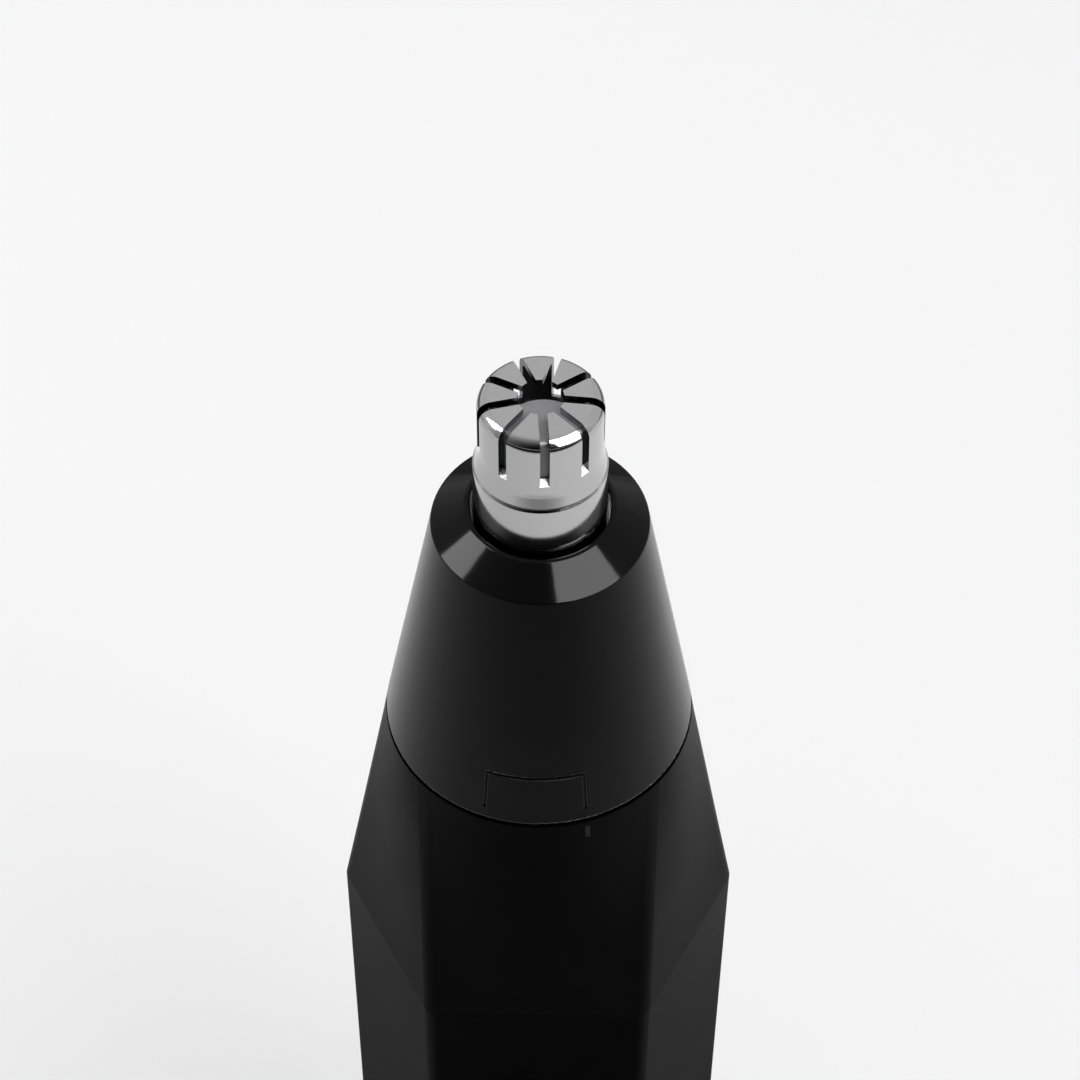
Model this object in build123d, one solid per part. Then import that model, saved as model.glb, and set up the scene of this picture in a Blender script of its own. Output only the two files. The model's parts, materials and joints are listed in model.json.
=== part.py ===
from build123d import *
from math import atan2, cos, degrees, radians, sin, tan
import os

# Nose hair trimmer, standing upright on its end cap.
# Millimetres. +Z runs up the long axis, -Y is the front (the side with the power button).
# The origin is the centre of the flat base.

# ---------------------------------------------------------------- driving dimensions
TOTAL = 142.0               # base to the flat top of the cutter
JOINT_Z = TOTAL - 32.5      # where the head meets the barrel
SHOULDER_Z = TOTAL - 54.5   # where the barrel becomes a straight hexagon
END_CAP_Z = 12.0            # seam between the end cap and the barrel
SEAM = 0.2                  # open line between neighbouring covers

CORNER_REACH = 15.18        # axis to the left and right corners, before rounding
FACET_HALF = 8.25           # half width of the front and back facets
FACET_DEPTH = 13.0          # axis to the front and back facets
CORNER_ROUND = 1.2
JOINT_R = 11.15             # outer radius where the head meets the barrel
JOINT_CORNER_ANGLE = 42.0   # where the four oblique corner lines land on that circle

COLLAR_EDGE_Z = TOTAL - 12.1
COLLAR_EDGE_R = 7.46
CONE_SLOPE = (JOINT_R - COLLAR_EDGE_R) / (COLLAR_EDGE_Z - JOINT_Z)
CONE_Z0 = JOINT_Z + 0.15
CONE_Z1 = COLLAR_EDGE_Z - 0.15

PAD_LEFT_ANGLE = -21.2      # mark pad on the cone, angles from the front towards +X
PAD_RIGHT_ANGLE = 18.7
PAD_Z0 = TOTAL - 31.3
PAD_Z1 = TOTAL - 27.85
PAD_GROOVE_WIDTH = 0.24
PAD_GROOVE_DEPTH = 0.16

CUTTER_R = 4.22
CUTTER_RING_R = 4.55
CUTTER_WALL = 0.5
CUTTER_TOP_ROUND = 0.92
CUTTER_STEP_Z = TOTAL - 6.32
CUTTER_LIP_R = 4.43         # foot of the gently flared side, above a short steeper lip
CUTTER_LIP_HEIGHT = 0.21
CUTTER_FLARE_HEIGHT = 1.5
CUTTER_HOLE_R = 1.54
CUTTER_FLANGE_Z = 126.35
SLOTS = 9
SLOT_WIDTH = 0.63
SLOT_DEPTH = 4.1
SLOT_FLOOR_DROP = 0.3       # the floor falls outwards by this much across the wall
SLOT_FIRST_ANGLE = 4.0      # from the front, towards +X

BLADE_GAP = 0.06            # running gap between the blade and the cutter
BLADE_SHEET = 0.4
BLADE_BASE_Z = 131.2
BLADE_HALF_WIDTH = 2.72
BLADE_TURN = 4.6            # resting turn of the blade, from the front towards +X

NECK_R = 8.6
NECK_TOP_Z = 114.0
NECK_BORE_R = 7.1
SKIRT_BORE_R = 8.85
DECK_Z = 107.6
DECK_TOP_Z = 109.6
MOTOR_TUBE_R = 9.1
MOTOR_TUBE_BORE_R = 8.1
LEDGE_Z = 107.0             # chassis shoulder stops here inside the barrel
BARREL_BORE_R = 10.4
BARREL_UPPER_BORE_R = 9.3
BARREL_NECK_BORE_R = 8.8

MOTOR_R = 7.7
MOTOR_Z0 = 84.0
MOTOR_Z1 = 107.6
MOTOR_SCREW_X = 5.5
SHAFT_R = 1.0
SHAFT_TOP_Z = 116.4
CORE_Z0 = 91.0              # armature stack
CORE_Z1 = 101.5
COUPLING_TOP_Z = 116.6
POST_TOP_Z = 119.4          # square post that slides in the drive tip
TIP_Z0 = 117.8
TIP_SOCKET_Z = 121.9

BATTERY_TUBE_R = 9.0
BATTERY_TUBE_BORE_R = 7.5
BATTERY_TUBE_Z0 = 17.6
BATTERY_DECK_Z = 58.0
BATTERY_Z0 = 7.2
BATTERY_Z1 = 56.4
BATTERY_R = 7.15

BUTTON_Z = 64.0
BUTTON_R = 5.0
BUTTON_HOLE_R = 5.2
BUTTON_FACE_Y = -12.9
BEZEL_R = 6.0
BEZEL_Y = -12.2             # the bezel's seat in the front facet
POCKET_Y = -11.2            # inside face of the thinned wall behind the button
POCKET_HALF = 6.6
BUTTON_FLANGE_Y = POCKET_Y + 0.1

BOARD_Y0 = -3.2
BOARD_Y1 = -2.2
BOARD_SCREW_X = 5.2
BOARD_SCREW_Z = 70.0

COIN = 0.4                  # contact plate thickness
STRIP_X0 = 0.8              # the long contact strip, left and right edges
STRIP_X1 = 3.2

FRONT = -90.0               # the front, as an angle about Z measured from +X


# ---------------------------------------------------------------- helpers
def turned(points, rounds=()):
    """Solid of revolution about Z from (radius, z) points; rounds are (radius, z, fillet)."""
    outline = make_face(Plane.XZ * Polyline(*points, close=True))
    for r, z, amount in rounds:
        corner = [v for v in outline.vertices() if abs(v.X - r) < 1e-4 and abs(v.Z - z) < 1e-4]
        outline = fillet(corner, amount)
    return revolve(outline, Axis.Z)


def disc(radius, z0, z1):
    return Pos(0, 0, (z0 + z1) / 2) * Cylinder(radius, z1 - z0)


def ring(outer, inner, z0, z1):
    return disc(outer, z0, z1) - disc(inner, z0 - 1, z1 + 1)


def block(x0, x1, y0, y1, z0, z1):
    size = (x1 - x0, y1 - y0, z1 - z0)
    return Pos((x0 + x1) / 2, (y0 + y1) / 2, (z0 + z1) / 2) * Box(*size)


def rod_y(radius, y0, y1, z, x=0.0):
    """Cylinder along Y."""
    return Pos(x, (y0 + y1) / 2, z) * Rot(90, 0, 0) * Cylinder(radius, y1 - y0)


def o_ring(radius, section, z):
    return Pos(0, 0, z) * Torus(radius, section)


def wedge(angle0, angle1, z0, z1, reach=30.0):
    """Solid sector about Z between two angles in degrees."""
    half = radians((angle1 - angle0) / 2)
    middle = (angle0 + angle1) / 2
    far = reach / cos(half)
    tips = [(far * cos(a), far * sin(a)) for a in (-half, half)]
    sector = make_face(Polyline((0, 0), tips[0], tips[1], close=True))
    return Pos(0, 0, z0) * Rot(0, 0, middle) * extrude(sector, z1 - z0)


def coil(radius, wire, z0, z1, turns, top_radius=None):
    """Coil spring whose wire lies between z0 and z1."""
    height = z1 - z0 - 2 * wire
    cone = 0.0 if top_radius is None else degrees(atan2(top_radius - radius, height))
    path = Pos(0, 0, z0 + wire) * Helix(pitch=height / turns, height=height, radius=radius, cone_angle=cone)
    return sweep(Plane(origin=path @ 0, z_dir=path % 0) * Circle(wire), path=path, is_frenet=True)


def wire_run(points, radius, bend):
    """Insulated wire through points, with the same bend radius at each inner point."""
    path = FilletPolyline(*points, radius=bend)
    return sweep(Plane(origin=path @ 0, z_dir=path % 0) * Circle(radius), path=path)


# ---------------------------------------------------------------- outer form
def hexagon_corners():
    return [
        (CORNER_REACH, 0.0),
        (FACET_HALF, FACET_DEPTH),
        (-FACET_HALF, FACET_DEPTH),
        (-CORNER_REACH, 0.0),
        (-FACET_HALF, -FACET_DEPTH),
        (FACET_HALF, -FACET_DEPTH),
    ]


def rounded_hexagon(z):
    """Wire of the barrel's section, twelve edges: corner arc, then facet, and so on."""
    corners = [Vector(x, y, z) for x, y in hexagon_corners()]
    edges = []
    arcs = []
    for i, corner in enumerate(corners):
        before = (corners[i - 1] - corner).normalized()
        after = (corners[(i + 1) % 6] - corner).normalized()
        half = radians(before.get_angle(after) / 2)
        run = CORNER_ROUND / tan(half)
        inward = (before + after).normalized()
        middle = corner + inward * (CORNER_ROUND / sin(half) - CORNER_ROUND)
        arcs.append((corner + before * run, middle, corner + after * run))
    for i, (start, middle, end) in enumerate(arcs):
        edges.append(Edge.make_three_point_arc(start, middle, end))
        edges.append(Edge.make_line(end, arcs[(i + 1) % 6][0]))
    return Wire(edges)


def joint_circle(z):
    """Wire of the barrel's round top, split to match the rounded hexagon's twelve edges."""
    corner_angles = [0, JOINT_CORNER_ANGLE, 180 - JOINT_CORNER_ANGLE]
    corner_angles += [a + 180 for a in corner_angles]
    spread = 3.0

    def at(angle):
        return Vector(JOINT_R * cos(radians(angle)), JOINT_R * sin(radians(angle)), z)

    edges = []
    for i, angle in enumerate(corner_angles):
        following = corner_angles[i + 1] if i < 5 else corner_angles[0] + 360
        a0, a1, a2 = angle - spread, angle + spread, following - spread
        edges.append(Edge.make_three_point_arc(at(a0), at(angle), at(a1)))
        edges.append(Edge.make_three_point_arc(at(a1), at((a1 + a2) / 2), at(a2)))
    return Wire(edges)


def hexagon_prism(z0, z1):
    return extrude(Face(rounded_hexagon(z0)), z1 - z0, dir=(0, 0, 1))


# ---------------------------------------------------------------- barrel and its fittings
def index_tick_blank():
    """Bar at the alignment mark, right of the front centre, just under the head."""
    bar = block(-0.18, 0.18, -12.2, -10.6, JOINT_Z - 1.7, JOINT_Z - 0.55)
    return Rot(0, 0, 18.2) * bar


def barrel_solid():
    top = JOINT_Z - 0.1
    prism = hexagon_prism(END_CAP_Z + SEAM, SHOULDER_Z)
    upper = Solid.make_loft([rounded_hexagon(SHOULDER_Z), joint_circle(top)], ruled=True)
    return prism + upper


def barrel_shell():
    shell = barrel_solid()
    shell -= disc(BARREL_BORE_R, 0, SHOULDER_Z - 1.5)
    shell -= disc(BARREL_UPPER_BORE_R, SHOULDER_Z - 2, LEDGE_Z)
    shell -= disc(BARREL_NECK_BORE_R, LEDGE_Z - 1, JOINT_Z + 1)
    shell -= block(-POCKET_HALF, POCKET_HALF, POCKET_Y, -6, BUTTON_Z - POCKET_HALF, BUTTON_Z + POCKET_HALF)
    shell -= rod_y(BUTTON_HOLE_R, -14, -8, BUTTON_Z)
    shell -= rod_y(BEZEL_R, -14, BEZEL_Y, BUTTON_Z)
    shell -= thumb_notch()
    return shell - index_tick_blank()


def thumb_notch():
    """Shallow scallop across the end cap's seam, at the back, for a fingernail."""
    return Pos(0, FACET_DEPTH + 1.7, END_CAP_Z) * Rot(0, 90, 0) * Cylinder(2.6, 8.0)


def index_tick():
    return index_tick_blank() & barrel_solid()


def button_bezel():
    bezel = rod_y(BEZEL_R, -FACET_DEPTH + 0.02, BEZEL_Y, BUTTON_Z)
    return bezel - rod_y(BUTTON_HOLE_R, -14, -11, BUTTON_Z)


def chassis():
    """Inner frame: battery tube, open bay for the switch board, motor tube and neck."""
    body = ring(BATTERY_TUBE_R, BATTERY_TUBE_BORE_R, BATTERY_TUBE_Z0, BATTERY_DECK_Z)
    body += ring(BATTERY_TUBE_R, BATTERY_TUBE_BORE_R + 0.1, BATTERY_DECK_Z, 82.0)
    body += disc(BATTERY_TUBE_R, BATTERY_DECK_Z, BATTERY_DECK_Z + 1.4)
    body += ring(MOTOR_TUBE_R, MOTOR_TUBE_BORE_R, 82.0, LEDGE_Z - 0.1)
    body += ring(NECK_R, NECK_BORE_R, LEDGE_Z - 0.1, NECK_TOP_Z)
    body += ring(NECK_R, NECK_BORE_R, LEDGE_Z - 0.1, DECK_Z) + disc(NECK_R, DECK_Z, DECK_TOP_Z)
    body += ring(MOTOR_TUBE_R, MOTOR_R + 0.02, LEDGE_Z - 3.0, LEDGE_Z - 0.1)
    body -= disc(3.1, DECK_Z - 1, DECK_TOP_Z + 1)
    for x in (-MOTOR_SCREW_X, MOTOR_SCREW_X):
        body -= Pos(x, 0, 108) * Cylinder(0.95, 6)
    body -= disc(MOTOR_R + 0.02, LEDGE_Z - 4, DECK_Z)
    # Front window for the button, switch and board.
    body -= block(-8.4, 8.4, -12, -0.8, BATTERY_DECK_Z + 1.4, 80.4)
    # Board posts stand on the back half of the bay.
    for x in (-BOARD_SCREW_X, BOARD_SCREW_X):
        body += rod_y(1.5, BOARD_Y1, 6.0, BOARD_SCREW_Z, x)
        body -= rod_y(0.65, BOARD_Y1 - 1, 3.0, BOARD_SCREW_Z, x)
    # Passages for the two battery contacts.
    body -= block(-3.2, -1.2, -2.4, -1.5, BATTERY_DECK_Z - 1, 62)
    body -= block(0.6, 3.4, 5, 10, 60.3, 61.3)
    body -= ring(NECK_R + 1, NECK_R - 0.4, 109.45, 110.15)
    body -= ring(NECK_R + 1, NECK_R - 0.75, 111.55, 112.65)
    for angle in (0, 180):
        body -= Rot(0, 0, angle) * block(7.9, 10, -0.95, 0.95, NECK_TOP_Z - 1.0, NECK_TOP_Z + 1)
    return body


def snap_ring():
    """Open spring ring that holds the chassis up against the barrel's ledge."""
    return ring(9.3, NECK_R - 0.38, 109.5, 110.1) - wedge(76, 104, 109, 111)


def neck_o_ring():
    return o_ring(8.36, 0.46, 112.1)


# ---------------------------------------------------------------- head
def cone_radius(z):
    return COLLAR_EDGE_R + CONE_SLOPE * (COLLAR_EDGE_Z - z)


def head_cone():
    outline = [
        (cone_radius(CONE_Z0), CONE_Z0),
        (cone_radius(CONE_Z1), CONE_Z1),
        (6.3, CONE_Z1),
        (6.3, 124.0),
        (5.2, 124.0),
        (5.2, 123.0),
        (SKIRT_BORE_R, 114.3),
        (SKIRT_BORE_R, 110.6),
        (9.5, 110.6),
        (9.5, CONE_Z0),
    ]
    body = turned(outline, rounds=[(cone_radius(CONE_Z0), CONE_Z0, 0.2)])
    # Keys that stop the head from turning on the neck.
    for angle in (0, 180):
        body += Rot(0, 0, angle) * block(8.1, 9.2, -0.75, 0.75, NECK_TOP_Z - 0.8, NECK_TOP_Z + 0.3)
    return round_groove_edges(body - groove_tool())


def cone_band(z0, z1, depth):
    """Ring that reaches from depth below the cone's surface to well outside it."""
    return turned([(cone_radius(z0) - depth, z0), (cone_radius(z0) + 1, z0),
                   (cone_radius(z1) + 1, z1), (cone_radius(z1) - depth, z1)])


def groove_tool():
    """Thin groove round three sides of the mark pad, on the front of the cone above the joint."""
    outer = cone_band(PAD_Z0, PAD_Z1, PAD_GROOVE_DEPTH)
    outer &= wedge(FRONT + PAD_LEFT_ANGLE, FRONT + PAD_RIGHT_ANGLE, PAD_Z0 - 1, PAD_Z1 + 1)
    side = degrees(PAD_GROOVE_WIDTH / cone_radius(PAD_Z1))
    left, right = FRONT + PAD_LEFT_ANGLE + side, FRONT + PAD_RIGHT_ANGLE - side
    return outer - wedge(left, right, PAD_Z0 - 1, PAD_Z1 - PAD_GROOVE_WIDTH)


def round_groove_edges(cone):
    """Rounds the groove's mouth, where its walls meet the cone's surface."""

    def at_mouth(edge):
        spot = edge.center()
        near = abs(Vector(spot.X, spot.Y).length - cone_radius(spot.Z)) < 0.05
        return near and PAD_Z0 + 0.2 < spot.Z < PAD_Z1 + 0.1 and spot.Y < 0

    return fillet(cone.edges().filter_by(at_mouth), 0.07)


def bevel_collar():
    outline = [
        (4.82, 127.3),
        (4.82, 131.55),
        (5.19, 131.42),
        (COLLAR_EDGE_R, COLLAR_EDGE_Z - 0.05),
        (COLLAR_EDGE_R + 0.02, CONE_Z1),
        (6.26, CONE_Z1),
        (6.26, 126.6),
        (5.7, 126.6),
        (5.7, 127.3),
    ]
    lip = [(4.82, 131.55, 0.15), (5.19, 131.42, 0.3)]
    return turned(outline, rounds=lip + [(COLLAR_EDGE_R, COLLAR_EDGE_Z - 0.05, 0.1)])


def slot_tool(angle):
    """One cutting slot: from the central hole out through the rim and down the side."""
    floor_inner, floor_outer = TOTAL - SLOT_DEPTH + SLOT_FLOOR_DROP, TOTAL - SLOT_DEPTH
    inner, outer = CUTTER_R - CUTTER_WALL, CUTTER_R + 0.6
    drop = (floor_outer - floor_inner) / CUTTER_WALL
    side = [
        (0.5, floor_inner - drop * (inner - 0.5)),
        (outer, floor_outer + drop * (outer - CUTTER_R)),
        (outer, TOTAL + 1),
        (0.5, TOTAL + 1),
    ]
    blade_path = make_face(Plane.XZ * Polyline(*side, close=True))
    return Rot(0, 0, FRONT + angle) * extrude(blade_path, SLOT_WIDTH / 2, both=True)


def cutter_cap():
    """Fixed slotted steel cap: rounded top, slots, and a flared foot above its base ring."""
    bore = CUTTER_R - CUTTER_WALL
    flare_z = CUTTER_STEP_Z + CUTTER_FLARE_HEIGHT
    lip_z = CUTTER_STEP_Z + CUTTER_LIP_HEIGHT
    outline = [
        (CUTTER_HOLE_R, TOTAL),
        (CUTTER_R, TOTAL),
        (CUTTER_R, flare_z),
        (CUTTER_LIP_R, lip_z),
        (CUTTER_RING_R, CUTTER_STEP_Z),
        (CUTTER_RING_R, CUTTER_FLANGE_Z + 0.85),
        (5.6, CUTTER_FLANGE_Z + 0.85),
        (5.6, CUTTER_FLANGE_Z),
        (bore, CUTTER_FLANGE_Z),
        (bore, TOTAL - CUTTER_WALL),
        (CUTTER_HOLE_R, TOTAL - CUTTER_WALL),
    ]
    body = turned(
        outline,
        rounds=[
            (CUTTER_R, TOTAL, CUTTER_TOP_ROUND),
            (CUTTER_R, flare_z, 5.0),
            (CUTTER_LIP_R, lip_z, 0.25),
            (bore, TOTAL - CUTTER_WALL, CUTTER_TOP_ROUND - CUTTER_WALL),
        ],
    )
    for k in range(SLOTS):
        body -= slot_tool(SLOT_FIRST_ANGLE + k * 360 / SLOTS)
    return body


def blade_bearing():
    """Guide ring under the cutter: carries the blade's stem and backs the cutter's flange."""
    body = ring(6.22, 2.57, 124.02, CUTTER_FLANGE_Z - 0.02)
    for k in range(6):
        body -= Rot(0, 0, 60 * k) * Pos(4.4, 0, 125) * Cylinder(0.7, 6)
    return body


# ---------------------------------------------------------------- blade
def inner_blade():
    """Sheet steel blade: one wide leaf hooked over at the top, a round base and a low balance tab."""
    outer = CUTTER_R - CUTTER_WALL - BLADE_GAP
    inner = outer - BLADE_SHEET
    top = TOTAL - 0.5 - BLADE_GAP
    cup = turned(
        [(0, BLADE_BASE_Z), (outer, BLADE_BASE_Z), (outer, top), (0, top),
         (0, top - BLADE_SHEET), (inner, top - BLADE_SHEET),
         (inner, BLADE_BASE_Z + BLADE_SHEET), (0, BLADE_BASE_Z + BLADE_SHEET)],
        rounds=[(outer, top, 0.36)],
    )
    end_y = 0.3 - BLADE_HALF_WIDTH
    plan = Pos(0, end_y) * Circle(BLADE_HALF_WIDTH) + Pos(0, end_y - 3) * Rectangle(2 * BLADE_HALF_WIDTH, 6)
    leaf = cup & (Pos(0, 0, BLADE_BASE_Z) * extrude(plan, 12))
    base = ring(outer - 0.1, 0.8, BLADE_BASE_Z, BLADE_BASE_Z + BLADE_SHEET)
    tab = ring(outer, inner, BLADE_BASE_Z, BLADE_BASE_Z + 3.2) & wedge(50, 130, BLADE_BASE_Z, TOTAL)
    return Rot(0, 0, BLADE_TURN) * (leaf + base + tab - disc(0.8, BLADE_BASE_Z - 1, BLADE_BASE_Z + 1))


def blade_carrier():
    body = disc(3.55, 118.2, 123.2) + disc(2.5, 123.2, 130.2) + disc(3.4, 130.2, BLADE_BASE_Z)
    body += disc(0.75, BLADE_BASE_Z, BLADE_BASE_Z + BLADE_SHEET)
    body += disc(1.25, BLADE_BASE_Z + BLADE_SHEET, BLADE_BASE_Z + BLADE_SHEET + 0.35)
    return body - block(-2.1, 2.1, -2.1, 2.1, 118, 122.7)


# ---------------------------------------------------------------- drive
def drive_coupling():
    body = disc(2.9, 111.4, COUPLING_TOP_Z) + block(-1.2, 1.2, -1.2, 1.2, COUPLING_TOP_Z, POST_TOP_Z)
    return body - disc(SHAFT_R, 111, SHAFT_TOP_Z)


def drive_tip():
    body = block(-2.0, 2.0, -2.0, 2.0, TIP_Z0, 122.6)
    body = chamfer(body.edges().filter_by(Axis.Z), 0.3)
    return body - block(-1.3, 1.3, -1.3, 1.3, TIP_Z0 - 1, TIP_SOCKET_Z)


def drive_spring():
    return coil(0.85, 0.16, POST_TOP_Z, TIP_SOCKET_Z, 4)


def shaft_seal():
    return turned([(SHAFT_R + 0.05, 110.5), (SHAFT_R + 0.05, 110.9), (2.2, 111.1), (4.0, 111.1),
                   (4.0, DECK_TOP_Z), (3.0, DECK_TOP_Z), (2.6, 110.2)])


def motor_shaft():
    return disc(SHAFT_R, 82.0, SHAFT_TOP_Z)


def motor_can():
    wall = 0.6
    body = disc(MOTOR_R, MOTOR_Z0, MOTOR_Z1) - disc(MOTOR_R - wall, MOTOR_Z0 - 1, MOTOR_Z1 - 0.8)
    body += disc(3.0, MOTOR_Z1, 109.0)
    body -= disc(2.2, 106, 110)
    for x in (-MOTOR_SCREW_X, MOTOR_SCREW_X):
        body -= Pos(x, 0, 107) * Cylinder(0.9, 4)
    return fillet(body.edges().filter_by(GeomType.CIRCLE).filter_by(
        lambda e: abs(e.radius - MOTOR_R) < 1e-6 and abs(e.center().Z - MOTOR_Z1) < 1e-6), 0.5)


def motor_screws():
    """Two screws down through the chassis deck into the motor's front face."""
    screws = []
    for x in (-MOTOR_SCREW_X, MOTOR_SCREW_X):
        screw = disc(0.88, 105.8, DECK_TOP_Z) + disc(1.3, DECK_TOP_Z, DECK_TOP_Z + 0.9)
        for width, length in ((1.8, 0.32), (0.32, 1.8)):
            screw -= Pos(0, 0, DECK_TOP_Z + 0.8) * Box(width, length, 0.7)
        screws.append((Pos(x, 0, 0) * screw).solid())
    return Compound(screws)


def motor_bushings():
    front = ring(2.2, SHAFT_R + 0.03, 106.0, 108.8)
    rear = ring(2.0, SHAFT_R + 0.03, 81.7, 83.2)
    return Compound([front.solid(), rear.solid()])


def motor_end_cap():
    body = disc(7.5, 81.7, MOTOR_Z0) + disc(MOTOR_R - 0.65, MOTOR_Z0, 85.0)
    body -= disc(2.0, 81, 83.2) + disc(1.2, 83, 86)
    for x in (-5.0, 5.0):
        body -= block(x - 0.8, x + 0.8, 1.3, 1.7, 81, 86)
    return body


def motor_terminals():
    tabs = []
    for x in (-5.0, 5.0):
        tab = block(x - 0.8, x + 0.8, 1.3, 1.7, 78.8, 84.9) - rod_y(0.4, 0, 3, 79.8, x)
        tabs.append(tab.solid())
    return Compound(tabs)


def motor_brushes():
    """Two sprung strips that press on the commutator."""
    strips = []
    for side in (-1, 1):
        foot = block(2.45, 5.6, 1.35, 1.65, 85.05, 85.3)
        leaf = block(2.45, 2.65, -1.6, 1.65, 85.05, 87.6)
        strip = foot + leaf
        if side < 0:
            strip = strip.mirror(Plane.YZ)
        strips.append(strip.solid())
    return Compound(strips)


def motor_magnets():
    shell = ring(7.08, 6.1, 88.5, 103.5)
    pieces = [(shell & wedge(a - 62, a + 62, 88, 104)).solid() for a in (90, 270)]
    return Compound(pieces)


def armature_core():
    """Three-pole stack on the shaft."""
    core = disc(2.0, CORE_Z0, CORE_Z1)
    for k in range(3):
        arm = block(1.4, 4.9, -0.75, 0.75, CORE_Z0, CORE_Z1)
        shoe = ring(5.8, 4.8, CORE_Z0, CORE_Z1) & wedge(-48, 48, CORE_Z0, CORE_Z1)
        core += Rot(0, 0, 120 * k + 90) * (arm + shoe)
    return core - disc(SHAFT_R, 80, 120)


def armature_windings():
    coils = []
    for k in range(3):
        outer = block(2.75, 4.35, -1.55, 1.55, CORE_Z0 - 0.9, CORE_Z1 + 0.9)
        outer = fillet(outer.edges().filter_by(Axis.X), 0.6)
        wound = outer - block(2, 6, -0.78, 0.78, CORE_Z0 - 0.03, CORE_Z1 + 0.03)
        coils.append((Rot(0, 0, 120 * k + 90) * wound).solid())
    return Compound(coils)


def commutator():
    body = ring(2.4, SHAFT_R, 85.9, 89.6)
    for k in range(3):
        body -= Rot(0, 0, 120 * k + 30) * block(1.9, 3, -0.12, 0.12, 85, 89.2)
    return body


def damping_ring():
    """Rubber sleeve between the motor and its tube."""
    return ring(MOTOR_TUBE_BORE_R - 0.02, MOTOR_R + 0.02, 90.0, 96.0)


# ---------------------------------------------------------------- switch and button
def power_button():
    body = rod_y(BUTTON_R, BUTTON_FACE_Y, BUTTON_FLANGE_Y + 0.7, BUTTON_Z)
    body = fillet(body.edges().filter_by(GeomType.CIRCLE).sort_by(Axis.Y)[0], 0.35)
    # Dished face for a fingertip.
    dish_radius = 22.0
    body -= Pos(0, BUTTON_FACE_Y - dish_radius + 0.4, BUTTON_Z) * Sphere(dish_radius)
    body += rod_y(5.7, BUTTON_FLANGE_Y, BUTTON_FLANGE_Y + 0.7, BUTTON_Z)
    body += rod_y(1.6, BUTTON_FLANGE_Y + 0.7, -8.05, BUTTON_Z)
    groove = rod_y(BUTTON_R + 1, -12.15, -11.45, BUTTON_Z) - rod_y(4.45, -13, -11, BUTTON_Z)
    return body - groove


def button_o_ring():
    return Pos(0, -11.8, BUTTON_Z) * Rot(90, 0, 0) * Torus(4.8, 0.33)


def switch_housing():
    return block(-3, 3, -6.8, BOARD_Y0, BUTTON_Z - 3, BUTTON_Z + 3) - rod_y(1.3, -8, -4.2, BUTTON_Z)


def switch_plunger():
    return rod_y(1.2, -8.0, -5.4, BUTTON_Z)


def switch_board():
    board = block(-6.6, 6.6, BOARD_Y0, BOARD_Y1, 59.6, 79.2)
    for x in (-BOARD_SCREW_X, BOARD_SCREW_X):
        board -= rod_y(0.95, BOARD_Y0 - 1, BOARD_Y1 + 1, BOARD_SCREW_Z, x)
    return board


def board_screws():
    screws = []
    for x in (-BOARD_SCREW_X, BOARD_SCREW_X):
        screw = rod_y(1.5, BOARD_Y0 - 1.0, BOARD_Y0, BOARD_SCREW_Z, x)
        screw += rod_y(0.62, BOARD_Y0, 2.4, BOARD_SCREW_Z, x)
        for width, height in ((2.0, 0.35), (0.35, 2.0)):
            screw -= Pos(x, BOARD_Y0 - 0.9, BOARD_SCREW_Z) * Box(width, 0.7, height)
        screws.append(screw.solid())
    return Compound(screws)


def motor_lead(side):
    """Wire from the back of the board to a motor terminal."""
    x = 5.0 * side
    points = [(x, BOARD_Y1, 74.0), (x, 0.6, 74.0), (x, 3.2, 76.0), (x, 3.2, 79.8), (x, 1.7, 79.8)]
    return wire_run(points, 0.45, 0.6)


# ---------------------------------------------------------------- battery and contacts
def battery_can():
    return turned([(0, BATTERY_Z0), (BATTERY_R - 0.15, BATTERY_Z0), (BATTERY_R - 0.15, BATTERY_Z1),
                   (0, BATTERY_Z1)],
                  rounds=[(BATTERY_R - 0.15, BATTERY_Z1, 0.5), (BATTERY_R - 0.15, BATTERY_Z0, 0.5)])


def battery_terminal():
    return fillet(disc(2.6, BATTERY_Z1, 57.45).edges().sort_by(Axis.Z)[-1], 0.3)


def battery_sleeve():
    return ring(BATTERY_R, BATTERY_R - 0.15, BATTERY_Z0 + 0.6, BATTERY_Z1 - 0.6)


def positive_contact():
    plate = disc(3.2, 57.5, 57.9)
    return plate + block(-3.0, -1.4, BOARD_Y1, BOARD_Y1 + COIN, 57.5, 61.6)


def contact_strip():
    """Runs up the back of the battery tube, from the end cap to the board."""
    strip = block(STRIP_X0, STRIP_X1, 9.15, 9.5, 17.15, 61.0)
    strip += block(STRIP_X0, STRIP_X1, BOARD_Y1, 9.5, 60.6, 61.0)
    return strip + block(STRIP_X0, STRIP_X1, 7.6, 9.5, 17.15, 17.5)


def negative_plate():
    plate = disc(6.8, 2.2, 2.2 + COIN) + block(STRIP_X0, STRIP_X1, 5.0, 7.9, 2.2, 2.2 + COIN)
    return plate + block(STRIP_X0, STRIP_X1, 7.6, 7.9, 2.2, 17.1)


def negative_spring():
    return coil(5.2, 0.35, 2.2 + COIN, BATTERY_Z0 - 0.02, 4, top_radius=2.8)


# ---------------------------------------------------------------- end cap
def end_cap():
    block_body = hexagon_prism(0, END_CAP_Z)
    bottom = block_body.faces().sort_by(Axis.Z)[0]
    block_body = chamfer(bottom.edges(), 1.0)
    spigot = disc(10.2, END_CAP_Z - 0.5, 17.0)
    body = block_body + spigot - disc(8.7, 2.2, 18)
    body -= ring(11, 9.5, 13.9, 15.1)
    body -= thumb_notch()
    # Shallow round recess that leaves a flat rim to stand on.
    return body - disc(7.0, -1, 0.4)


def end_cap_o_ring():
    return o_ring(9.95, 0.42, 14.5)


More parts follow.
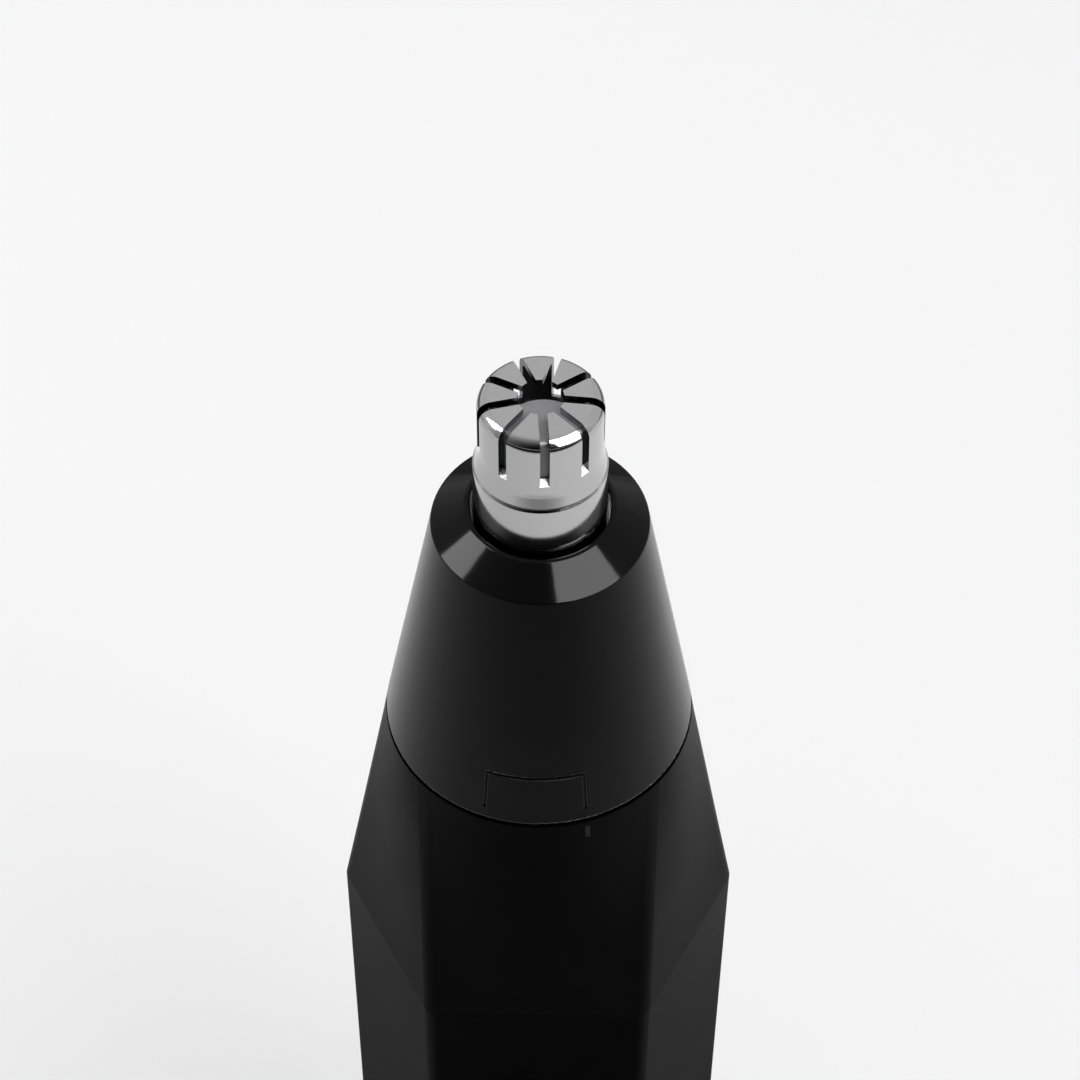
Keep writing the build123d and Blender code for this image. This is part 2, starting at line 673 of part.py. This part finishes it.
# ---------------------------------------------------------------- export
NODES = {
    "barrel_shell": barrel_shell,
    "index_tick": index_tick,
    "button_bezel": button_bezel,
    "chassis": chassis,
    "snap_ring": snap_ring,
    "neck_o_ring": neck_o_ring,
    "head_cone": head_cone,
    "bevel_collar": bevel_collar,
    "cutter_cap": cutter_cap,
    "blade_bearing": blade_bearing,
    "inner_blade": inner_blade,
    "blade_carrier": blade_carrier,
    "drive_coupling": drive_coupling,
    "drive_tip": drive_tip,
    "drive_spring": drive_spring,
    "shaft_seal": shaft_seal,
    "motor_shaft": motor_shaft,
    "motor_can": motor_can,
    "motor_screws": motor_screws,
    "motor_bushings": motor_bushings,
    "motor_end_cap": motor_end_cap,
    "motor_terminals": motor_terminals,
    "motor_brushes": motor_brushes,
    "motor_magnets": motor_magnets,
    "armature_core": armature_core,
    "armature_windings": armature_windings,
    "commutator": commutator,
    "damping_ring": damping_ring,
    "power_button": power_button,
    "button_o_ring": button_o_ring,
    "switch_housing": switch_housing,
    "switch_plunger": switch_plunger,
    "switch_board": switch_board,
    "board_screws": board_screws,
    "motor_lead_red": lambda: motor_lead(1),
    "motor_lead_black": lambda: motor_lead(-1),
    "battery_can": battery_can,
    "battery_terminal": battery_terminal,
    "battery_sleeve": battery_sleeve,
    "positive_contact": positive_contact,
    "contact_strip": contact_strip,
    "negative_plate": negative_plate,
    "negative_spring": negative_spring,
    "end_cap": end_cap,
    "end_cap_o_ring": end_cap_o_ring,
}

os.makedirs("parts", exist_ok=True)
for name, make in NODES.items():
    export_step(make(), f"parts/{name}.step")
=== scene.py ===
import json
from math import cos, pi, radians, sin

import bpy
from mathutils import Matrix, Vector


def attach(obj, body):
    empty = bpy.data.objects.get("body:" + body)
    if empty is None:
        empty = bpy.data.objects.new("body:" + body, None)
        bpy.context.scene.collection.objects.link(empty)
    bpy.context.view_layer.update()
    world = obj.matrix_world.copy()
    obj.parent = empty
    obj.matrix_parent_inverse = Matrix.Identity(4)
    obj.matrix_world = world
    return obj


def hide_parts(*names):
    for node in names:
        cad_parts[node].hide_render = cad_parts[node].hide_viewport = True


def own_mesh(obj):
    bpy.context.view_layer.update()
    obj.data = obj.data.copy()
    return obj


# Looks for an upright nose hair trimmer. Metres, the same frame as the CAD model:
# the origin is the centre of the base, +Z is up and -Y is the front.

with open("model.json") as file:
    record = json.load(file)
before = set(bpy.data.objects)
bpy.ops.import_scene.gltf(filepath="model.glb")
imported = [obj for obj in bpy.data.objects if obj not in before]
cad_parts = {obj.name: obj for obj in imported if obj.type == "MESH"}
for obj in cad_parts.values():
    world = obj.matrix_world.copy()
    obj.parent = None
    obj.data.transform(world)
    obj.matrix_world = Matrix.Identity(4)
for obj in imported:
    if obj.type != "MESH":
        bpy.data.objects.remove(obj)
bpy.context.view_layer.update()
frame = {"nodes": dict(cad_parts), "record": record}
NODES = frame["nodes"]
MM = 0.001


# ---------------------------------------------------------------- camera
CAMERA_PLACE = (0.0, -0.13543, 0.28658)
CAMERA_DOWN_DEG = 49.557    # below the horizon
CAMERA_ROLL_DEG = 0.335
CAMERA_LENS_MM = 101.65


def add_camera():
    """Looks down on the trimmer's front from above."""
    data = bpy.data.cameras.new("camera")
    data.sensor_width = 36.0
    data.lens = CAMERA_LENS_MM
    data.clip_start = 0.01
    data.clip_end = 20.0
    camera = bpy.data.objects.new("camera", data)
    bpy.context.scene.collection.objects.link(camera)
    tilt = radians(90.0 - CAMERA_DOWN_DEG)
    roll = radians(CAMERA_ROLL_DEG)
    turn = Matrix.Rotation(tilt, 4, "X") @ Matrix.Rotation(roll, 4, "Z")
    camera.matrix_world = Matrix.Translation(CAMERA_PLACE) @ turn
    bpy.context.scene.camera = camera


add_camera()


# ---------------------------------------------------------------- light, floor and world
HEAD = Vector((0.0, 0.0, 0.13))     # the lights face the middle of the steel cutter
LAMP_DISTANCE = 0.9


def from_head(azimuth, elevation, distance):
    """Point seen from the head in a direction: azimuth from the front towards +X, in degrees."""
    turn, rise = radians(azimuth), radians(elevation)
    direction = Vector((sin(turn) * cos(rise), -cos(turn) * cos(rise), sin(rise)))
    return HEAD + distance * direction


def face_head(thing, position):
    """Puts a light or a card at a position, turned towards the head."""
    thing.location = position
    thing.rotation_euler = (HEAD - position).to_track_quat("-Z", "Y").to_euler()


def add_lamp(name, azimuth, elevation, size, power):
    """Large soft light, hidden from reflections, which see the cards below instead."""
    data = bpy.data.lights.new(name, "AREA")
    data.shape = "RECTANGLE"
    data.size, data.size_y = size
    data.energy = power
    light = bpy.data.objects.new(name, data)
    face_head(light, from_head(azimuth, elevation, LAMP_DISTANCE))
    light.visible_camera = False
    light.visible_glossy = False
    bpy.context.scene.collection.objects.link(light)


def glow(name, shade):
    """Plain grey material that gives off its own light."""
    material = bpy.data.materials.new(name)
    material.use_nodes = True
    tree = material.node_tree
    tree.nodes.clear()
    emission = tree.nodes.new("ShaderNodeEmission")
    emission.inputs["Color"].default_value = (shade, shade, shade, 1.0)
    output = tree.nodes.new("ShaderNodeOutputMaterial")
    tree.links.new(emission.outputs["Emission"], output.inputs["Surface"])
    return material


def add_card(name, size, material):
    """Flat card that only reflections see."""
    data = bpy.data.meshes.new(name)
    half_x, half_y = size[0] / 2, size[1] / 2
    corners = [(-half_x, -half_y, 0.0), (half_x, -half_y, 0.0)]
    corners += [(half_x, half_y, 0.0), (-half_x, half_y, 0.0)]
    data.from_pydata(corners, [], [(0, 1, 2, 3)])
    data.materials.append(material)
    card = bpy.data.objects.new(name, data)
    bpy.context.scene.collection.objects.link(card)
    card.visible_camera = False
    card.visible_diffuse = False
    card.visible_shadow = False
    card.visible_transmission = False
    return card


def add_standing_card(name, azimuth, elevation, distance, size, shade, roll=0):
    """Glowing card that faces the head, turned about its own middle by roll degrees."""
    card = add_card(name, size, glow(name, shade))
    face_head(card, from_head(azimuth, elevation, distance))
    card.rotation_euler.rotate_axis("Z", radians(roll))


def add_studio():
    """Softboxes on the left and the right, a light back and a dark camera side."""
    add_lamp("lamp_left", -95, 42, (0.4, 0.6), 3.0)
    add_lamp("lamp_right", 55, 45, (0.6, 0.6), 3.0)
    add_lamp("lamp_back", 180, 50, (1.0, 0.5), 1.5)
    add_standing_card("softbox_left", -96, 41, 0.9, (0.30, 0.52), 14.0)
    add_standing_card("softbox_right", 54, 40, 0.85, (0.68, 1.00), 13.0, roll=-11)
    add_standing_card("back_wall", 180, 45, 1.2, (0.8, 1.1), 0.8)


def add_floor():
    """Plain pale floor, much wider than any view of the trimmer needs."""
    data = bpy.data.meshes.new("floor")
    rings, sides = 24, 96
    reach = 6.0
    vertices = [(0.0, 0.0, 0.0)]
    faces = []
    for ring in range(1, rings + 1):
        radius = reach * (ring / rings) ** 2
        for k in range(sides):
            angle = 2 * pi * k / sides
            vertices.append((radius * cos(angle), radius * sin(angle), 0.0))
    for k in range(sides):
        faces.append((0, 1 + k, 1 + (k + 1) % sides))
    for ring in range(1, rings):
        first = 1 + (ring - 1) * sides
        for k in range(sides):
            near, far = first + k, first + (k + 1) % sides
            faces.append((near, near + sides, far + sides, far))
    data.from_pydata(vertices, [], faces)
    floor = bpy.data.objects.new("floor", data)
    bpy.context.scene.collection.objects.link(floor)
    return floor


def add_world():
    """Even white surroundings. In reflections they fade from light grey behind to black in front."""
    room_light = 0.55
    grey_behind = 0.75
    fade_power = 1.5
    fade_start, fade_end = -1.0, 0.05       # along Y, on the sphere of directions
    world = bpy.data.worlds.new("studio")
    world.use_nodes = True
    bpy.context.scene.world = world
    tree = world.node_tree
    background = tree.nodes["Background"]
    rays = tree.nodes.new("ShaderNodeLightPath")
    place = tree.nodes.new("ShaderNodeTexCoord")
    split = tree.nodes.new("ShaderNodeSeparateXYZ")
    tree.links.new(place.outputs["Generated"], split.inputs["Vector"])
    mirrored = tree.nodes.new("ShaderNodeMapRange")
    mirrored.inputs["From Min"].default_value = fade_start
    mirrored.inputs["From Max"].default_value = fade_end
    tree.links.new(split.outputs["Y"], mirrored.inputs["Value"])
    falloff = tree.nodes.new("ShaderNodeMath")
    falloff.operation = "POWER"
    falloff.inputs[1].default_value = fade_power
    tree.links.new(mirrored.outputs["Result"], falloff.inputs[0])
    grey = tree.nodes.new("ShaderNodeMath")
    grey.operation = "MULTIPLY"
    grey.inputs[1].default_value = grey_behind
    tree.links.new(falloff.outputs[0], grey.inputs[0])
    level = tree.nodes.new("ShaderNodeMapRange")
    level.inputs["To Min"].default_value = room_light
    tree.links.new(grey.outputs[0], level.inputs["To Max"])
    tree.links.new(rays.outputs["Is Glossy Ray"], level.inputs["Value"])
    tree.links.new(level.outputs["Result"], background.inputs["Strength"])
    background.inputs["Color"].default_value = (1.0, 1.0, 1.0, 1.0)


add_studio()
floor = add_floor()
add_world()
bpy.context.scene.view_settings.view_transform = "Standard"


# ---------------------------------------------------------------- material helpers
class Shader:
    """A Principled material being put together, one node at a time."""

    def __init__(self, name):
        self.material = bpy.data.materials.new(name)
        self.material.use_nodes = True
        self.tree = self.material.node_tree
        self.surface = self.tree.nodes["Principled BSDF"]
        self.place = self.add("ShaderNodeTexCoord").outputs["Object"]

    def add(self, kind, **settings):
        """New node of a kind, with its settings."""
        node = self.tree.nodes.new(kind)
        for key, value in settings.items():
            setattr(node, key, value)
        return node

    def link(self, source, target):
        self.tree.links.new(source, target)

    def set(self, **values):
        """Constant values on the shader's own sockets, by socket name with _ for a space."""
        for key, value in values.items():
            self.surface.inputs[key.replace("_", " ")].default_value = value

    def noise(self, size_mm, detail=3.0, stretch=(1, 1, 1)):
        """Noise whose cells are about size_mm across, stretched per axis; 0 to 1."""
        mapping = self.add("ShaderNodeMapping")
        mapping.inputs["Scale"].default_value = [1.0 / (size_mm * MM * s) for s in stretch]
        self.link(self.place, mapping.inputs["Vector"])
        node = self.add("ShaderNodeTexNoise")
        node.inputs["Scale"].default_value = 1.0
        node.inputs["Detail"].default_value = detail
        self.link(mapping.outputs["Vector"], node.inputs["Vector"])
        return node.outputs["Fac"]

    def ramp(self, source, low, high, start=0.3, end=0.7):
        """Maps source from start..end to low..high, which are numbers."""
        node = self.add("ShaderNodeMapRange", clamp=True)
        node.inputs["From Min"].default_value = start
        node.inputs["From Max"].default_value = end
        node.inputs["To Min"].default_value = low
        node.inputs["To Max"].default_value = high
        self.link(source, node.inputs["Value"])
        return node.outputs["Result"]

    def blend(self, factor, low, high):
        """Colour between low and high by factor; each is a colour or a socket."""
        node = self.add("ShaderNodeMix", data_type="RGBA")
        self.link(factor, node.inputs[0])
        for value, socket in ((low, node.inputs[6]), (high, node.inputs[7])):
            if isinstance(value, bpy.types.NodeSocket):
                self.link(value, socket)
            else:
                socket.default_value = (*value, 1.0)
        return node.outputs[2]

    def product(self, first, second):
        """Product of two sockets."""
        node = self.add("ShaderNodeMath", operation="MULTIPLY")
        self.link(first, node.inputs[0])
        self.link(second, node.inputs[1])
        return node.outputs[0]

    def slot_walls(self):
        """1 on upright faces that run along the radius, such as the walls of the cutter's slots."""
        flat = self.add("ShaderNodeVectorMath", operation="MULTIPLY")
        flat.inputs[1].default_value = (1.0, 1.0, 0.0)
        self.link(self.place, flat.inputs[0])
        outward = self.add("ShaderNodeVectorMath", operation="NORMALIZE")
        self.link(flat.outputs["Vector"], outward.inputs[0])
        normal = self.add("ShaderNodeNewGeometry").outputs["True Normal"]
        parts = []
        for other in (outward.outputs["Vector"], (0.0, 0.0, 1.0)):
            dot = self.add("ShaderNodeVectorMath", operation="DOT_PRODUCT")
            self.link(normal, dot.inputs[0])
            if isinstance(other, tuple):
                dot.inputs[1].default_value = other
            else:
                self.link(other, dot.inputs[1])
            tilt = self.add("ShaderNodeMath", operation="ABSOLUTE")
            self.link(dot.outputs["Value"], tilt.inputs[0])
            parts.append(self.ramp(tilt.outputs[0], 1.0, 0.0, 0.25, 0.4))
        return self.product(parts[0], parts[1])

    def mixed(self, factor, low, high):
        """Number between low, a socket, and high, a number, by factor."""
        node = self.add("ShaderNodeMix", data_type="FLOAT")
        self.link(factor, node.inputs[0])
        self.link(low, node.inputs[2])
        node.inputs[3].default_value = high
        return node.outputs[0]

    def bump(self, height, depth_mm):
        """Normal of a surface that rises and falls with height, by up to depth_mm."""
        node = self.add("ShaderNodeBump")
        node.inputs["Strength"].default_value = 1.0
        node.inputs["Distance"].default_value = depth_mm * MM
        self.link(height, node.inputs["Height"])
        return node.outputs["Normal"]


# Painted shade patches in the painted floor reflection: middle along Y, inner and outer edge of the fade,
# and shade inside.
PAINTED_SHADE_NEAR_TRIMMER = (0.0, 0.055, 0.095, 0.22)
PAINTED_OWN_SHADOW = (-0.057, 0.035, 0.05, 0.05)
PAINTED_REFLECTION_SIDE = 3.0
PAINTED_REFLECTION_Z = 0.001


def add_painted_floor_reflection():
    """Painted reflection of the floor on a glowing card that only reflections see: pale beside the trimmer,
    with painted shade close to it and in front, painted shade far behind and painted light rising towards
    the right.
    """
    s = Shader("painted_floor_reflection")
    split = s.add("ShaderNodeSeparateXYZ")
    s.link(s.place, split.inputs["Vector"])
    across, along = split.outputs["X"], split.outputs["Y"]
    # painted light: the floor reflection is lighter towards the right; painted shade: darker in front and
    # far behind
    painted_light_to_right = s.ramp(across, 0.80, 0.97, -0.12, 0.12)
    painted_shade_in_front = s.ramp(along, 0.02, 1.0, -0.29, -0.16)
    painted_shade_behind = s.ramp(along, 1.0, 0.2, 0.17, 0.32)
    level = s.product(s.product(painted_light_to_right, painted_shade_in_front), painted_shade_behind)
    # painted shade close to the trimmer and a painted shadow of it in front
    for centre_y, inner, outer, shade in (PAINTED_SHADE_NEAR_TRIMMER, PAINTED_OWN_SHADOW):
        away = s.add("ShaderNodeVectorMath", operation="DISTANCE")
        away.inputs[1].default_value = (0.0, centre_y, 0.0)
        s.link(s.place, away.inputs[0])
        level = s.product(level, s.ramp(away.outputs["Value"], shade, 1.0, inner, outer))
    # the card glows with this painted floor reflection
    s.link(level, s.surface.inputs["Emission Strength"])
    s.set(Base_Color=(0, 0, 0, 1), Emission_Color=(1, 1, 1, 1), Specular_IOR_Level=0.0, Roughness=1.0)
    card = add_card("painted_floor_reflection", (PAINTED_REFLECTION_SIDE, PAINTED_REFLECTION_SIDE), s.material)
    card.location.z = PAINTED_REFLECTION_Z


add_painted_floor_reflection()


def plastic(name, colour, roughness, grain_mm=0.12, grain_depth_mm=0.002, coat=0.0, specular=0.5,
            variation=0.12, sheen=0.0):
    """Moulded plastic: fine spark-eroded texture and slow changes in colour and gloss."""
    s = Shader(name)
    cloud = s.noise(9.0, 4.0)
    grain = s.noise(grain_mm, 2.0)
    lighter = [c * (1 + variation) + 0.001 for c in colour]
    darker = [c * (1 - variation) for c in colour]
    s.link(s.blend(s.ramp(cloud, 0.0, 1.0), darker, lighter), s.surface.inputs["Base Color"])
    s.link(s.ramp(cloud, roughness * 0.93, roughness * 1.07), s.surface.inputs["Roughness"])
    s.link(s.bump(grain, grain_depth_mm), s.surface.inputs["Normal"])
    s.set(Specular_IOR_Level=specular, Coat_Weight=coat, Coat_Roughness=0.05)
    s.set(Sheen_Weight=sheen, Sheen_Roughness=0.3)
    return s.material


def metal(name, colour, roughness, stretch=(1, 1, 1), grain_mm=0.3, grain_depth_mm=0.0006, variation=0.08):
    """Bare metal with fine finishing marks drawn out along the stretched axes."""
    s = Shader(name)
    marks = s.noise(grain_mm, 3.0, stretch)
    cloud = s.noise(4.0, 3.0)
    darker = [c * (1 - variation) for c in colour]
    s.link(s.blend(s.ramp(marks, 0.0, 1.0), darker, colour), s.surface.inputs["Base Color"])
    s.link(s.ramp(cloud, roughness * 0.85, roughness * 1.2), s.surface.inputs["Roughness"])
    s.link(s.bump(marks, grain_depth_mm), s.surface.inputs["Normal"])
    s.set(Metallic=1.0)
    return s.material


# The slots end in floors between these heights, each given as the start and end of a short fade.
SLOT_FLOOR_BOTTOM = (0.1374, 0.1376)
SLOT_FLOOR_TOP = (0.1384, 0.1387)
SLOT_CHATTER_MM = 0.03


def cutter_steel(name):
    """Polished steel with painted shade on the slot walls; the slot floors are coarse and rough from
    grinding, with painted glints that make them bright.
    """
    s = Shader(name)
    split = s.add("ShaderNodeSeparateXYZ")
    s.link(s.place, split.inputs["Vector"])
    facing = s.add("ShaderNodeSeparateXYZ")
    s.link(s.add("ShaderNodeNewGeometry").outputs["True Normal"], facing.inputs["Vector"])
    upward = s.ramp(facing.outputs["Z"], 0.0, 1.0, 0.6, 0.7)
    below_top = s.ramp(split.outputs["Z"], 1.0, 0.0, *SLOT_FLOOR_TOP)
    above_bottom = s.ramp(split.outputs["Z"], 0.0, 1.0, *SLOT_FLOOR_BOTTOM)
    slot_floor = s.product(s.product(upward, below_top), above_bottom)
    slot_wall = s.slot_walls()
    cloud = s.noise(3.0, 3.0)
    marks = s.noise(0.5, 3.0, (1, 1, 0.08))
    chatter = s.noise(0.12, 2.0)
    steel = s.blend(s.ramp(marks, 0.0, 1.0), (0.445, 0.445, 0.45), (0.47, 0.47, 0.475))
    # rough finish with painted glints: the slot floors are made brighter than the polished steel
    ground_finish_and_painted_glints = s.blend(s.ramp(chatter, 0.0, 1.0), (0.28, 0.28, 0.28), (0.8, 0.8, 0.8))
    # painted shade: the slot walls are darkened far below the steel
    steel_and_painted_slot_shade = s.blend(slot_wall, steel, (0.05, 0.05, 0.052))
    s.link(s.blend(slot_floor, steel_and_painted_slot_shade, ground_finish_and_painted_glints), s.surface.inputs["Base Color"])
    s.link(s.mixed(slot_floor, s.ramp(cloud, 0.075, 0.11), 0.5), s.surface.inputs["Roughness"])
    fine = s.bump(marks, 0.0004)
    coarse = s.add("ShaderNodeBump")
    coarse.inputs["Distance"].default_value = SLOT_CHATTER_MM * MM
    s.link(slot_floor, coarse.inputs["Strength"])
    s.link(chatter, coarse.inputs["Height"])
    s.link(fine, coarse.inputs["Normal"])
    s.link(coarse.outputs["Normal"], s.surface.inputs["Normal"])
    s.set(Metallic=1.0)
    return s.material


def rubber(name, colour):
    """Matt rubber with a little pale dust."""
    s = Shader(name)
    grain = s.noise(0.08, 3.0)
    dust = s.noise(1.2, 4.0)
    dusty = [c + 0.012 for c in colour]
    s.link(s.blend(s.ramp(dust, 0.0, 1.0, 0.45, 0.8), colour, dusty), s.surface.inputs["Base Color"])
    s.link(s.ramp(dust, 0.6, 0.78), s.surface.inputs["Roughness"])
    s.link(s.bump(grain, 0.003), s.surface.inputs["Normal"])
    s.set(Specular_IOR_Level=0.4)
    return s.material


DRAWN_LENGTHWISE = (1, 1, 0.05)
STACKED_SHEETS = (50, 50, 0.35)
WOUND_WIRE = (20, 0.2, 0.2)

PLASTICS = {
    "soft_touch_black": dict(colour=(0.0005, 0.0005, 0.0006), roughness=0.38, grain_mm=0.10,
                             grain_depth_mm=0.003, specular=0.022, sheen=0.045),
    "satin_black": dict(colour=(0.0010, 0.0010, 0.0011), roughness=0.34, grain_mm=0.10,
                        grain_depth_mm=0.0015, specular=0.055, sheen=0.65),
    "gloss_black": dict(colour=(0.0008, 0.0008, 0.0009), roughness=0.09, grain_mm=0.5,
                        grain_depth_mm=0.0004, specular=0.12),
    "mark_grey": dict(colour=(0.008, 0.008, 0.0085), roughness=0.5, specular=0.1),
    "frame_black": dict(colour=(0.02, 0.02, 0.022), roughness=0.45, grain_mm=0.2, grain_depth_mm=0.004),
    "natural_nylon": dict(colour=(0.62, 0.6, 0.52), roughness=0.38, grain_mm=0.3, variation=0.04),
    "ferrite": dict(colour=(0.03, 0.03, 0.032), roughness=0.55, grain_mm=0.2, grain_depth_mm=0.006),
    "board_green": dict(colour=(0.01, 0.09, 0.04), roughness=0.25, grain_mm=0.6, grain_depth_mm=0.003,
                        coat=0.4),
    "switch_black": dict(colour=(0.012, 0.012, 0.012), roughness=0.4, grain_mm=0.15, grain_depth_mm=0.003),
    "switch_red": dict(colour=(0.4, 0.02, 0.015), roughness=0.35),
    "button_black": dict(colour=(0.012, 0.012, 0.013), roughness=0.42, grain_mm=0.1, specular=0.4),
    "wire_red": dict(colour=(0.45, 0.015, 0.012), roughness=0.35, grain_mm=0.4, grain_depth_mm=0.003),
    "wire_black": dict(colour=(0.01, 0.01, 0.01), roughness=0.35, grain_mm=0.4, grain_depth_mm=0.003),
    "cell_label": dict(colour=(0.06, 0.065, 0.08), roughness=0.2, grain_mm=3.0, grain_depth_mm=0.004,
                       coat=0.5),
}

METALS = {
    "blade_steel": dict(colour=(0.22, 0.22, 0.225), roughness=0.45, stretch=DRAWN_LENGTHWISE, grain_mm=0.4),
    "bright_trim": dict(colour=(0.7, 0.7, 0.72), roughness=0.12),
    "spring_steel": dict(colour=(0.55, 0.55, 0.57), roughness=0.22),
    "motor_steel": dict(colour=(0.58, 0.59, 0.6), roughness=0.3, stretch=(1, 1, 0.1), grain_mm=0.5),
    "sintered_bronze": dict(colour=(0.5, 0.33, 0.16), roughness=0.42, grain_mm=0.15, grain_depth_mm=0.003),
    "tinned_brass": dict(colour=(0.66, 0.58, 0.38), roughness=0.25),
    "core_steel": dict(colour=(0.28, 0.28, 0.3), roughness=0.4, stretch=STACKED_SHEETS, grain_mm=1.0,
                       grain_depth_mm=0.02),
    "copper_wire": dict(colour=(0.55, 0.2, 0.07), roughness=0.3, stretch=WOUND_WIRE, grain_mm=1.0,
                        grain_depth_mm=0.02),
    "commutator_copper": dict(colour=(0.66, 0.34, 0.18), roughness=0.25),
    "cell_steel": dict(colour=(0.68, 0.68, 0.7), roughness=0.2),
}


def all_materials():
    """Every material slot's finished material, by the slot's name."""
    materials = {name: plastic(name, **look) for name, look in PLASTICS.items()}
    materials.update({name: metal(name, **look) for name, look in METALS.items()})
    materials["polished_steel"] = cutter_steel("polished_steel")
    materials["black_rubber"] = rubber("black_rubber", (0.012, 0.012, 0.012))
    return materials


MATERIALS = all_materials()


def dress_nodes():
    """Gives each CAD node the finished material of its slot."""
    for part in frame["record"]["subparts"]:
        shape = NODES[part["node"]].data
        for k in range(len(shape.materials)):
            shape.materials[k] = MATERIALS[part["material_slot"]]


dress_nodes()


def add_drive_spring():
    """The spring under the drive tip, as a copy of its CAD piece carried by the rotor body; the CAD piece
    is hidden.
    """
    node = NODES["drive_spring"]
    spring = bpy.data.objects.new("drive_spring_coil", node.data.copy())
    bpy.context.scene.collection.objects.link(spring)
    spring.matrix_world = node.matrix_world.copy()
    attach(spring, "rotor")
    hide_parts("drive_spring")
    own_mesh(spring)


add_drive_spring()


def floor_material():
    """Matt pale floor, almost even in tone."""
    s = Shader("floor")
    grain = s.noise(0.5, 3.0)
    darker, lighter = (0.868, 0.868, 0.868), (0.872, 0.872, 0.872)
    s.link(s.blend(s.ramp(grain, 0.0, 1.0), darker, lighter), s.surface.inputs["Base Color"])
    s.set(Roughness=0.8, Specular_IOR_Level=0.1)
    return s.material


floor.data.materials.append(floor_material())
